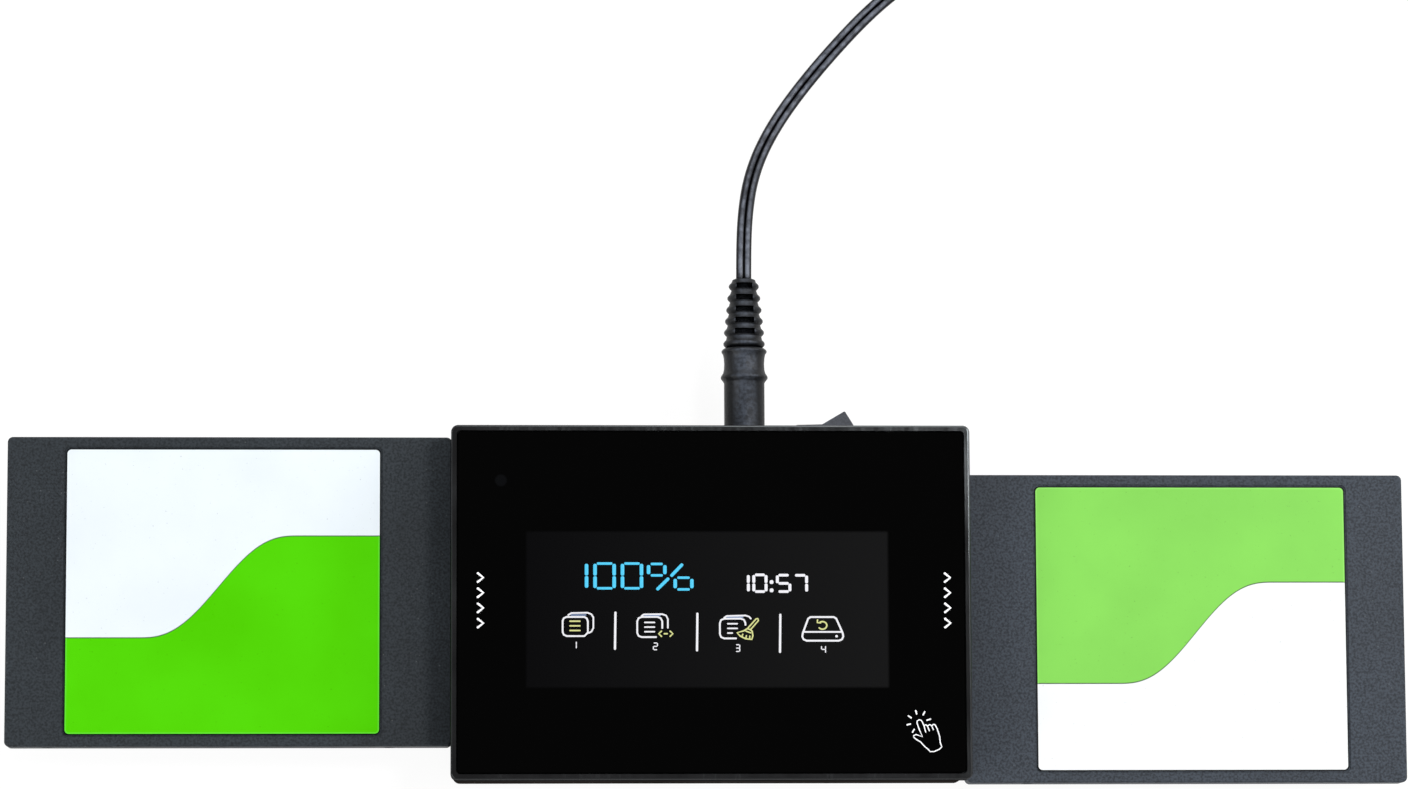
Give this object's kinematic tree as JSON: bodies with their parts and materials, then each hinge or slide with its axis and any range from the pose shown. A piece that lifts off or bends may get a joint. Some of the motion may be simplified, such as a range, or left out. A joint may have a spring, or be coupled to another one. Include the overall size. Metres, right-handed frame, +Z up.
{
  "type": "drive duplicator",
  "caption": "Pocket drive duplicator: flat black case with a touch glass, a slim drive plugged into each side, a rear rocker switch, and a power lead with its wall adapter",
  "frame": {"origin": "under the centre of the case, on the plane that its feet stand on", "axes": "+X towards the target drive, +Y towards the rear wall with the switch and jack, +Z up"},
  "size_m": [0.3162, 0.2374, 0.036],
  "materials": {
    "case_plastic": "glossy black moulded plastic",
    "cover_glass": "black-backed glass with a polished face",
    "sensor_glass": "thin film sensor on glass",
    "display_glass": "dark display glass",
    "tray_aluminium": "pressed tray",
    "circuit_board": "green solder resist",
    "chip_black": "moulded package",
    "sink_aluminium": "anodised",
    "capacitor_aluminium": "bare can",
    "ferrite": "pressed ferrite",
    "steel": "plated steel",
    "lamp_plastic": "clear lens",
    "ribbon_film": "amber film",
    "connector_plastic": "moulded black",
    "contact_brass": "plated contacts",
    "switch_plastic": "moulded black",
    "rocker_plastic": "satin dark grey",
    "wire_red": "insulated wire",
    "foot_rubber": "soft black",
    "barrel_nickel": "nickel plate",
    "grip_vinyl": "matt moulded vinyl with a fine grain",
    "cord_vinyl": "satin vinyl jacket",
    "tie_vinyl": "coated wire tie",
    "adapter_plastic": "fine-grained black plastic",
    "drive_shell": "fine-grained slate grey",
    "label_film": "printed film label"
  },
  "bodies": {
    "case": {"bottom_housing": "case_plastic", "top_housing": "case_plastic", "cover_glass": "cover_glass", "touch_sensor": "sensor_glass", "display_panel": "display_glass", "display_backlight": "tray_aluminium", "main_board": "circuit_board", "processor": "chip_black", "heat_sink": "sink_aluminium", "memory_chips": "chip_black", "capacitors": "capacitor_aluminium", "inductors": "ferrite", "clock_crystal": "steel", "buzzer": "chip_black", "status_light": "lamp_plastic", "display_ribbon": "ribbon_film", "ribbon_connector": "connector_plastic", "source_socket": "connector_plastic", "source_socket_contacts": "contact_brass", "target_socket": "connector_plastic", "target_socket_contacts": "contact_brass", "power_jack": "connector_plastic", "power_jack_pin": "contact_brass", "power_jack_tab": "contact_brass", "switch_frame": "switch_plastic", "switch_terminals": "contact_brass", "switch_wires": "wire_red", "rubber_feet": "foot_rubber", "case_screws": "steel", "board_screws": "steel"},
    "rocker": {"switch_rocker": "rocker_plastic"},
    "source_drive": {"source_drive_base": "drive_shell", "source_drive_cover": "drive_shell", "source_drive_label": "label_film", "source_drive_board": "circuit_board", "source_drive_board_screws": "steel", "source_drive_chips": "chip_black", "source_drive_plug": "connector_plastic", "source_drive_contacts": "contact_brass"},
    "target_drive": {"target_drive_base": "drive_shell", "target_drive_cover": "drive_shell", "target_drive_label": "label_film", "target_drive_board": "circuit_board", "target_drive_board_screws": "steel", "target_drive_chips": "chip_black", "target_drive_plug": "connector_plastic", "target_drive_contacts": "contact_brass"},
    "power_lead": {"plug_barrel": "barrel_nickel", "plug_insulator": "connector_plastic", "plug_grip": "grip_vinyl", "cord_run": "cord_vinyl", "cord_coil": "cord_vinyl", "cord_tail": "cord_vinyl", "coil_tie": "tie_vinyl", "adapter_relief": "grip_vinyl", "adapter_case": "adapter_plastic", "adapter_face": "adapter_plastic", "adapter_blades": "contact_brass"}
  },
  "joints": [
    {"name": "rocker_hinge", "type": "hinge", "parent": "case", "child": "rocker", "pos_m": [0.0267, 0.03725, 0.0145], "axis": [0, 0, -1], "range_deg": [0, 32]},
    {"name": "source_drive_slide", "type": "slide", "parent": "case", "child": "source_drive", "axis": [-1, 0, 0], "range_m": [0, 0.03]},
    {"name": "target_drive_slide", "type": "slide", "parent": "case", "child": "target_drive", "axis": [1, 0, 0], "range_m": [0, 0.03]},
    {"name": "power_lead_slide", "type": "slide", "parent": "case", "child": "power_lead", "axis": [0, 1, 0], "range_m": [0, 0.012]}
  ]
}
